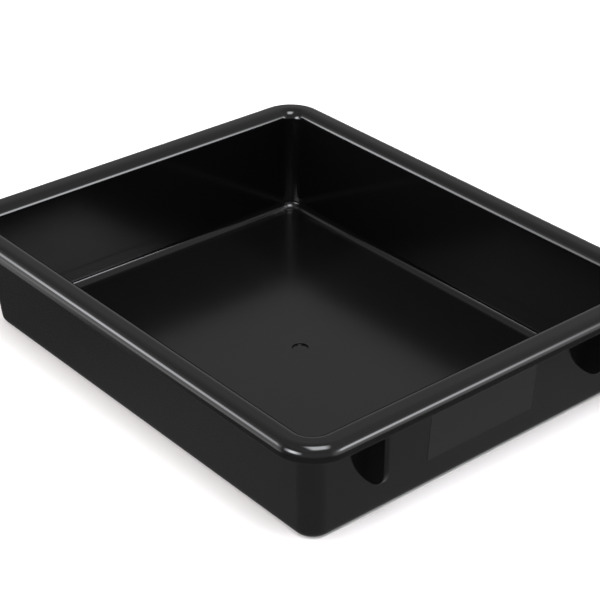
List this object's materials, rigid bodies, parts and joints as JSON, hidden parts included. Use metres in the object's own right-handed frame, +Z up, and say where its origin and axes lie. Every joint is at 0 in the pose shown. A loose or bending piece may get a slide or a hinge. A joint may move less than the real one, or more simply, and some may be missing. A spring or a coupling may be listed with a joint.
{
  "type": "paint roller tray",
  "caption": "Deep rectangular paint roller tray with a flat floor, drafted walls, a wide rolled rim, and ribs and a label pad on the front wall.",
  "frame": {"origin": "centre of the resting plane under the tray", "axes": "+Z up, +Y along the length, the front wall with the ribs and the label pad faces -Y"},
  "size_m": [0.3242, 0.4, 0.0836],
  "materials": {
    "black_plastic": "semi-gloss moulded black"
  },
  "bodies": {
    "root": {"tray": "black_plastic"}
  },
  "joints": []
}
